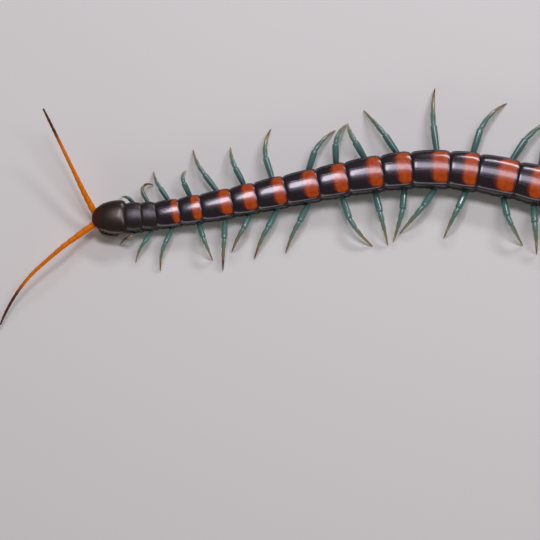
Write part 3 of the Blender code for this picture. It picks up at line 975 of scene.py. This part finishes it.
def palps():
    """The jointed mouth feelers, folded under the front of the head."""
    finish = shell_finish("palp_shell", (0.16, 0.05, 0.015), (0.3, 0.11, 0.03))
    for side, sign in SIDES:
        points = [on_body(place, sign * out, height)[0] for place, out, height in PALP_PATH]
        palp = limb(f"palp_{side}", 10, PALP_ROWS)
        settle(palp, finish, "head_shell", line=smoothed(points))


def smoothed(points, times=4):
    """A line of points with its corners cut again and again."""
    for _ in range(times):
        cut = [points[0]]
        for first, second in zip(points, points[1:]):
            cut += [first.lerp(second, 0.25), first.lerp(second, 0.75)]
        points = cut + [points[-1]]
    return points


fang_shell = fang_finish()
fangs(fang_shell)
jaw_plate(fang_shell)
palps()

# Feelers
# Each feeler is a chain of eighteen joints, glossy orange near the head, then finely haired,
# and dark brown over its last quarter. A collar on the head holds its root.

FEELER_JOINTS = 18
FEELER_BLANK = 20.0
# The first joint's share of the length, and how much less the last one has.
FEELER_SHARES = (1.25, 0.5)
FEELER_SIZES = (
    (0.0, 0.56), (0.06, 0.61), (0.15, 0.56), (0.27, 0.46), (0.42, 0.36), (0.7, 0.29), (0.9, 0.24),
    (1.0, 0.15),
)
# Parts of a joint's length, with its thickness there.
FEELER_JOINT_FORM = ((0.0, 0.8), (0.08, 0.93), (0.3, 0.97), (0.75, 1.03), (0.93, 0.98))
# The tip: place before the end and thickness; then how far the stain beside a groove reaches.
FEELER_TIP = ((0.06, 0.1), (0.0, 0.04))
FEELER_GROOVE = 0.06
# The root: place along, outwards and up, then how far out the first joint stands, and how far
# in and down the line goes on under the collar.
FEELER_ROOT = (0.5, 0.45, 2.2)
FEELER_OUT = 1.35
FEELER_SUNK = 0.3
FEELER_DROP = 0.25
FEELER_COLLAR = ((0.0, 0.42), (0.4, 0.5), (0.92, 0.56), (1.16, 0.55), (1.24, 0.47), (1.2, 0.36))
# Length, then the turn outwards and the height at places along it.
FEELERS = {
    "right": (18.6, ((0, 62), (5, 66), (20, 65)), ((0, 2.3), (4, 3.3), (19, 6.2))),
    "left": (
        22.6, ((0, 38), (11, 40), (15, 50), (23, 68)), ((0, 2.3), (6, 3.3), (13, 2.8), (23, 1.0)),
    ),
}


def feeler_finish():
    """Orange shell, smooth at the root, finely haired further out and dark brown at the tip."""
    finish = Finish("feeler_shell", {
        "Coat Weight": 0.03, "Coat Roughness": 0.12, "Specular IOR Level": 0.35,
        "Specular Tint": (1.0, 0.6, 0.18),
    })
    along, joint, _ = finish.marks()
    cloud = finish.noise(1.2, 3.0)
    fuzz = finish.noise(0.07, 3.0)
    orange = finish.mix(cloud, (0.8, 0.16, 0.001), (0.88, 0.24, 0.002))
    brown = finish.mix(fuzz, (0.05, 0.018, 0.008), (0.12, 0.045, 0.018))
    colour = finish.mix((along + 0.06 * cloud).rise(0.66, 0.84), orange, brown)
    colour = finish.mix(joint * 0.45, colour, (0.3, 0.05, 0.006))
    roughness = 0.26 + 0.3 * along.rise(0.2, 0.5) + 0.1 * fuzz
    return finish.done(colour, roughness, fuzz * along.rise(0.2, 0.45), 0.03, 0.7)


def feeler_blank():
    """A straight feeler of all its joints, each one a little shorter than the last."""
    most, less = FEELER_SHARES
    shares = [most - less * index / FEELER_JOINTS for index in range(FEELER_JOINTS)]
    rows = []
    place = 0.0
    for share in shares:
        long = FEELER_BLANK * share / sum(shares)
        for part, size in FEELER_JOINT_FORM:
            x = place + part * long
            rows.append((x, between(FEELER_SIZES, x / FEELER_BLANK) * size))
        place += long
    rows += [(FEELER_BLANK - short, half) for short, half in FEELER_TIP]
    grooves = [x for x, _ in rows[::len(FEELER_JOINT_FORM)]]
    blank = limb("feeler_blank", 12, rows)
    mark(blank, lambda co: (co.x / FEELER_BLANK, near(co.x, grooves, FEELER_GROOVE), 0.0))
    return blank


def near(place, places, reach):
    """1 at any of the places, falling to 0 at a distance of reach."""
    return max(0.0, 1.0 - min(abs(place - other) for other in places) / reach)


def line_lengths(points):
    """How far along a line each of its points lies."""
    lengths = [0.0]
    for first, second in zip(points, points[1:]):
        lengths.append(lengths[-1] + (second - first).length)
    return lengths


def feelers():
    """Both feelers and their collars."""
    blank = feeler_blank()
    finish = feeler_finish()
    collar_finish = shell_finish("feeler_collar", (0.2, 0.05, 0.008), (0.4, 0.09, 0.01))
    for side, sign in SIDES:
        length, turns, heights = FEELERS[side]
        middle, back, right = on_body(FEELER_ROOT[0], sign * FEELER_ROOT[1], FEELER_ROOT[2])
        first = math.radians(turns[0][1])
        ahead = -back * math.cos(first) + right * (sign * math.sin(first))
        heading = math.atan2(-back.y, -back.x)
        outwards = [(place, -sign * turn) for place, turn in turns]
        points = [middle - ahead * FEELER_SUNK - Vector((0.0, 0.0, FEELER_DROP))]
        start = middle + ahead * FEELER_OUT
        points += limb_route(start, heading, length, outwards, heights, FEELER_JOINTS * 2)
        feeler = copy_of(blank, f"feeler_{side}")
        for vert in feeler.data.vertices:
            vert.co.x *= line_lengths(points)[-1] / FEELER_BLANK
        settle(feeler, finish, "antenna_shell", f"antenna_{side}", line=points)
        collar = limb(f"feeler_collar_{side}", 20, FEELER_COLLAR)
        settle(collar, collar_finish, "head_shell", line=points)
    bpy.data.objects.remove(blank)


feelers()

# Walking legs
# Twenty pairs of legs alike in build: a short hip, then five joints that get thinner, and a
# claw. They are blue-green near the body and turn olive and brown towards the claw.

LEG_FULL_LENGTH = 12.6
LEG_FRONT_LENGTH = 6.0
LEG_GROWTH = 4.5
LEG_THINNEST = 0.1
# The root on the flank, as parts of the body's width and height, and the hip in front of it.
LEG_ROOT = (1.09, 0.27)
LEG_GAP = 0.3
LEG_HIP = 0.6
LEG_ROOT_SHIFT = 1.3
# The leg's line inside the flank: how much of the shift is left, the place outwards of its
# corner from the root, how much of the slope is kept, and how far in it goes on.
LEG_SHIFT_LEFT = 0.15
LEG_JOINT_PLACE = -0.42
LEG_LEVEL = 0.3
LEG_SUNK = 1.2
# The arch from the hip to the foot, which is higher where a leg has more length to spare.
LEG_STEPS = 24
ARCH_RANGE = (0.9, 2.0)
ARCH_PER_SPARE = 0.45
FALL_POWER = 1.3
FOOT_HEIGHT = 0.05
# How far a bend at a joint is rounded, at most as a part of the joint's length, and its steps.
BEND_REACH = 0.4
BEND_SHARE = 0.45
BEND_STEPS = 8
# Where the joints end, as parts of the leg's line from the hip to the foot.
JOINT_ENDS = (0.33, 0.54, 0.73, 0.87, 0.955, 1.0)
# The blank: half widths at the start, the thickest place and the end of each of the joints.
JOINT_SIZES = (
    (0.58, 0.66, 0.62), (0.47, 0.52, 0.46), (0.38, 0.41, 0.35), (0.28, 0.28, 0.23),
    (0.19, 0.18, 0.13),
)
# Part of a joint's length, then thickness there as a part of which of its three sizes.
JOINT_FORM = (
    (0.0, 0.82, 0), (0.04, 0.97, 0), (0.14, 1.0, 0), (0.45, 1.0, 1), (0.8, 1.05, 2),
    (0.93, 1.04, 2), (0.975, 0.94, 2),
)
JOINT_GROOVE = 0.09
HIP_ROWS = (
    (0.0, 0.66), (0.5, 0.74), (0.8, 0.77), (0.92, 0.72), (1.0, 0.6), (1.08, 0.63), (1.2, 0.54),
)
CLAW_ROWS = ((0.0, 0.1), (0.1, 0.105), (0.4, 0.08), (0.75, 0.05), (1.0, 0.015))
# Each leg's swing backwards, the reach of its foot from the hip, and its curl.
STANCE_RIGHT = (
    (-62, 2.3, 38), (24, 3.0, 86), (-17, 5.5, 26), (3, 4.3, 42), (-17, 8.1, 23), (-5, 6.8, 22),
    (13, 8.6, 28), (47, 8.4, 14), (28, 7.1, 22), (-13, 6.5, 27), (-29, 9.2, 6), (-1, 11.1, 12),
    (27, 10.6, 22), (33, 10.6, 12), (14, 9.6, 24), (-10, 9.0, 20), (-28, 9.6, 10), (-2, 10.8, 15),
    (26, 10.4, 20), (35, 10.2, 12),
)
STANCE_LEFT = (
    (-80, 2.8, 14), (-38, 5.0, 17), (-26, 6.5, 24), (13, 5.4, 8), (-15, 7.5, 4), (-44, 5.9, 2),
    (-41, 8.0, 11), (-41, 8.0, 10), (24, 8.4, 25), (5, 7.8, 4), (-21, 7.9, -8), (-42, 8.6, -4),
    (-21, 7.5, 0), (40, 7.5, 18), (21, 7.0, 2), (-2, 7.8, 8), (-25, 8.6, 8), (-43, 9.2, 5),
    (28, 8.8, 20), (10, 9.0, 10),
)
# Legs that turn brown nearer to the body than the rest do.
TINTS = {
    ("left", 1): 0.5, ("right", 1): 0.15, ("right", 2): 0.33, ("left", 5): 0.15,
    ("left", 6): 0.12,
}
TINT_RANGE = (-0.05, 0.07)
# What stands further out than this from a leg's middle is a spine, black from this far on.
SPINE_SHADE = (0.8, 0.25)


def leg_length(number):
    """Length of a leg of pair number; the front ones are shorter."""
    short = (LEG_FULL_LENGTH - LEG_FRONT_LENGTH) * math.exp(-(number - 1) / LEG_GROWTH)
    return LEG_FULL_LENGTH - short


def leg_scale(number):
    """Thickness of a leg of pair number, as a part of the full size."""
    return LEG_THINNEST + (1 - LEG_THINNEST) * leg_length(number) / LEG_FULL_LENGTH


def leg_corners(number, sign, stance):
    """The places of a leg's joints, from inside the flank to the claw's tip."""
    swing, reach, curl = stance
    lean = math.sin(math.radians(swing - curl))
    shift = LEG_ROOT_SHIFT * lean * leg_length(number) / LEG_FULL_LENGTH
    distance = plate_start(number) + LEG_PLACE * PLATE_LENGTHS[number - 1] + shift
    full = between(PLATE_WIDTHS, number)
    out, up = LEG_ROOT
    reach_out = full / 2 * out + LEG_GAP
    height = BELLY_HEIGHT + full * HEIGHT_PER_WIDTH * up
    root, _, right = on_body(distance, sign * reach_out, height)
    outwards = right * sign
    hip = root + outwards * (LEG_HIP * leg_scale(number))
    heading = math.atan2(outwards.y, outwards.x)
    bend = math.radians(curl)
    plan = reach * (bend / math.sin(bend)) if curl else reach
    spare = leg_length(number) - LEG_HIP - plan
    arch = min(max(ARCH_PER_SPARE * spare, ARCH_RANGE[0]), ARCH_RANGE[1])
    turns = ((0, -sign * (swing - curl)), (plan, -sign * (swing + curl)))
    heights = []
    for step in range(LEG_STEPS + 1):
        part = step / LEG_STEPS
        height = hip.z * (1 - part ** FALL_POWER) + 4 * arch * part * (1 - part)
        heights.append((part * plan, height))
    points = limb_route(hip, heading, plan, turns, heights, LEG_STEPS)
    points[-1].z = FOOT_HEIGHT
    corners = [at_step(points, part * LEG_STEPS) for part in JOINT_ENDS]
    inside = sign * (reach_out + LEG_JOINT_PLACE)
    joint, _, _ = on_body(distance - LEG_SHIFT_LEFT * shift, inside, root.z)
    inwards = joint - corners[0]
    inwards.z *= LEG_LEVEL
    return [joint + (inwards.normalized() - outwards) * LEG_SUNK / 2, joint] + corners


def rounded_line(corners, reach):
    """A line through corners, each one rounded over a reach on either side."""
    points = [corners[0]]
    for before, corner, after in zip(corners, corners[1:], corners[2:]):
        ends = []
        for other in (before, after):
            along = other - corner
            ends.append(corner + along.normalized() * min(reach, along.length * BEND_SHARE))
        for i in range(BEND_STEPS + 1):
            part = i / BEND_STEPS
            points.append(ends[0].lerp(corner, part).lerp(corner.lerp(ends[1], part), part))
    return points + [corners[-1]]


def leg_blank(name, hip_rows, ends, sizes):
    """A straight leg drawn out joint by joint, and the places of its joints."""
    rows = list(hip_rows)
    start = hip_rows[-1][0]
    marks = [0.0, start]
    forms = [[(part, three[which] * size) for part, size, which in JOINT_FORM] for three in sizes]
    for end, form in zip(ends, forms + [CLAW_ROWS]):
        low, high = marks[-1], start + end * LEG_FULL_LENGTH
        rows += [(low + part * (high - low), half) for part, half in form]
        marks.append(high)
    kept = [row for row, before in zip(rows[1:], rows) if row[0] - before[0] > 1e-4]
    return limb(name, 12, rows[:1] + kept), marks


def leg_finish():
    """Glossy blue-green shell that turns olive, then brown, with dark rings at the joints."""
    finish = Finish("leg_shell", {"Coat Weight": 0.75, "Coat Roughness": 0.1})
    along, joint, tint = finish.marks()
    cloud = finish.noise(0.7, 3.0)
    grain = finish.noise(0.1, 3.0)
    place = along + tint + 0.1 * (cloud - 0.5)
    stops = (
        (0.0, (0.045, 0.105, 0.095)), (0.08, (0.085, 0.2, 0.175)), (0.35, (0.115, 0.255, 0.22)),
        (0.52, (0.15, 0.275, 0.21)), (0.68, (0.22, 0.265, 0.155)), (0.82, (0.32, 0.245, 0.1)),
        (0.93, (0.28, 0.11, 0.04)), (1.0, (0.08, 0.02, 0.01)),
    )
    colour = finish.node("ShaderNodeValToRGB", {"stops": stops}, {0: place})
    colour = finish.mix(0.2 * cloud, colour, (0.03, 0.06, 0.055))
    colour = finish.mix(joint * 0.55, colour, (0.015, 0.04, 0.04))
    return finish.done(colour, 0.14 + 0.08 * grain, grain, 0.01, 0.5)


def walking_legs():
    """A copy of the blank for each leg, fitted to its joints and bent into its stance."""
    blank, marks = leg_blank("leg_blank", HIP_ROWS, JOINT_ENDS, JOINT_SIZES)
    for (side, sign), stances in zip(SIDES, (STANCE_LEFT, STANCE_RIGHT)):
        for number, stance in enumerate(stances, start=1):
            node = f"leg_{side}_{number:02d}"
            tint = TINTS.get((side, number), random.uniform(*TINT_RANGE))
            corners = leg_corners(number, sign, stance)
            set_leg(copy_of(blank, f"{node}_shell"), corners, marks, leg_scale(number), tint, node)
    bpy.data.objects.remove(blank)


def spine_part(co):
    """0 on a leg's own surface, and up to 1 at the tip of a spine that stands on it."""
    foot, reach = SPINE_SHADE
    return min(1.0, max(0.0, (math.hypot(co.y, co.z) - foot) / reach))


def set_leg(leg, corners, marks, scale, tint, node):
    """Colours, fits and bends one leg."""
    full = marks[-1] - marks[1]
    mark(leg, lambda co: (
        (co.x - marks[1]) / full + spine_part(co), near(co.x, marks[1:-1], JOINT_GROOVE), tint,
    ))
    line = rounded_line(corners, BEND_REACH * scale)
    shares = line_lengths(corners)
    whole = line_lengths(line)[-1]
    fitted = list(zip(marks, [place * whole / shares[-1] for place in shares]))
    for vert in leg.data.vertices:
        vert.co = (between(fitted, vert.co.x), vert.co.y * scale, vert.co.z * scale)
    settle(leg, LEG_FINISH, "leg_shell", node, line=line)


LEG_FINISH = leg_finish()
walking_legs()

# The last pair of legs
# The longest and thickest pair trails behind and doesn't walk. Two haunches, each with a
# spike, hold it, and its first joints carry short black-tipped spines on the inner side.

# The line of a last leg: its root, outwards and up, then turns outwards and heights along it.
TRAIL_LENGTH = 13.9
TRAIL_STEPS = 28
TRAIL_ROOT = (1.02, 1.8)
TRAIL_SUNK = 1.4
TRAIL_TURN = ((0, 10), (4, 17), (9, 14), (14, 2))
TRAIL_HEIGHTS = ((0, 1.8), (3.5, 2.5), (7, 2.2), (11, 1.1), (13.9, 0.14))
TRAIL_ENDS = (0.27, 0.5, 0.7, 0.84, 0.965, 1.0)
TRAIL_HIP_ROWS = ((0.0, 0.62), (0.6, 0.8), (1.1, 0.82), (1.35, 0.72), (1.42, 0.6))
TRAIL_SIZES = (
    (0.64, 0.775, 0.6), (0.58, 0.65, 0.5), (0.48, 0.54, 0.4), (0.38, 0.41, 0.3),
    (0.28, 0.27, 0.17),
)
# Spines: part of the first joint, turn about the leg from above, and how far out the foot is.
SPINES = (
    (0.3, 60, 0.7), (0.58, 80, 0.68), (0.86, 58, 0.58), (0.46, 122, 0.7), (0.74, 140, 0.6),
    (0.66, 22, 0.64),
)
SPINE = (0.11, 0.42)
# Rows along each haunch and its place, then its spike's place, radius and length.
HAUNCH_ROWS = (
    (0.0, 0.5), (0.35, 0.78), (1.1, 0.97), (2.0, 1.03), (2.65, 1.0), (2.95, 0.9), (3.1, 0.76),
    (3.08, 0.6),
)
HAUNCH_PLACE = (-2.75, 1.0, 1.8)
HAUNCH_SPIKE = (0.5, 0.45, 1.0, 0.28, 1.3)


def haunches():
    """The swollen side pieces of the last segment, which hold the last legs."""
    finish = shell_finish("haunch_shell", (0.008, 0.01, 0.01), (0.03, 0.035, 0.03))
    end = plate_start(PLATE_COUNT + 1)
    for side, sign in SIDES:
        haunch = limb(f"haunch_{side}", 20, HAUNCH_ROWS)
        start, out, up = HAUNCH_PLACE
        place_straight(haunch, end + start, sign * out, up)
        start, out, up, radius, length = HAUNCH_SPIKE
        spot = (end + start, sign * out, up)
        spike = cone(14, radius, 0.02, length, spot, (0, math.pi / 2, 0))
        settle(joined(haunch.name, [haunch, spike]), finish, "body_shell")


def last_legs():
    """Both trailing legs with the spines on their first joints."""
    blank, marks = leg_blank("trail_blank", TRAIL_HIP_ROWS, TRAIL_ENDS, TRAIL_SIZES)
    end = plate_start(PLATE_COUNT + 1)
    radius, length = SPINE
    for side, sign in SIDES:
        start, back, _ = on_body(end, sign * TRAIL_ROOT[0], TRAIL_ROOT[1])
        heading = math.atan2(back.y, back.x)
        turns = [(place, sign * turn) for place, turn in TRAIL_TURN]
        points = limb_route(start, heading, TRAIL_LENGTH, turns, TRAIL_HEIGHTS, TRAIL_STEPS)
        points[-1].z = FOOT_HEIGHT
        corners = [start - back * TRAIL_SUNK, start]
        corners += [at_step(points, part * TRAIL_STEPS) for part in TRAIL_ENDS]
        parts = [copy_of(blank, f"last_leg_{side}")]
        for part, turn, foot in SPINES:
            angle = math.radians(turn)
            out = Vector((0.0, -sign * math.sin(angle), math.cos(angle)))
            spot = Vector((marks[1] + part * (marks[2] - marks[1]), 0, 0))
            spot += out * (foot + length * 0.35)
            lean = out.to_track_quat("Z", "Y").to_euler()
            parts.append(cone(10, radius, 0.01, length, spot, lean))
        leg = joined(parts[0].name, parts)
        set_leg(leg, corners, marks, 1.0, 0.0, f"leg_{side}_{PLATE_COUNT}")
    bpy.data.objects.remove(blank)


haunches()
last_legs()

# Stage
# A plain pale floor, soft studio light and a camera at the photograph's viewing angle. Two key
# lamps, one in front and one behind, give the long highlight along the back.

TARGET = (-22.89, -11.33, 0.0)
CAMERA_DISTANCE = 450.0
CAMERA_ELEVATION = 73.0
LENS = 180.0

bpy.ops.mesh.primitive_plane_add(size=3.0)
floor = bpy.context.object
floor.name = "floor"
paper = Finish("floor_paper", {"Roughness": 0.9, "Base Color": (0.88, 0.865, 0.83)})
floor.data.materials.append(paper.material)

camera_data = bpy.data.cameras.new("camera")
camera_data.lens = LENS
camera = bpy.data.objects.new("camera", camera_data)
tilt = math.radians(90 - CAMERA_ELEVATION)
away = Vector((0.0, -math.sin(tilt), math.cos(tilt))) * CAMERA_DISTANCE
camera.location = (Vector(TARGET) + away) * MM
camera.rotation_euler = (tilt, 0.0, 0.0)
bpy.context.scene.collection.objects.link(camera)
bpy.context.scene.camera = camera


def softbox(name, place, size, power, colour=(1.0, 1.0, 1.0), turn=0.0, facing=None):
    """A soft lamp whose back faces away from the model, or as given, turned by some degrees."""
    data = bpy.data.lights.new(name, "AREA")
    data.shape = "RECTANGLE"
    data.size, data.size_y = size
    data.energy = power
    data.color = colour
    lamp = bpy.data.objects.new(name, data)
    lamp.location = place
    lamp.rotation_euler = Vector(facing or place).to_track_quat("Z", "Y").to_euler()
    lamp.rotation_euler.rotate_axis("Z", math.radians(turn))
    bpy.context.scene.collection.objects.link(lamp)


KEY = ((0.95, 0.9, 1.0), 25.0, (0.076, 0.096, 0.3))
softbox("key_front", (-0.046, 0.131, 0.322), (0.045, 0.085), 0.193, *KEY)
softbox("key_rear", (0.0975, 0.09, 0.296), (0.26, 0.066), 0.33, *KEY)
softbox("side", (0.28, 0.66, 0.46), (0.46, 0.1), 2.0, (0.95, 0.93, 1.0))
softbox("fill", (-0.2, -0.85, 0.22), (1.1, 0.3), 2.2)
world = bpy.data.worlds.new("studio")
world.use_nodes = True
sky = world.node_tree.nodes["Background"].inputs
sky["Color"].default_value = (0.95, 0.9, 0.86, 1.0)
sky["Strength"].default_value = 0.11
bpy.context.scene.world = world
bpy.context.scene.view_settings.view_transform = "Standard"
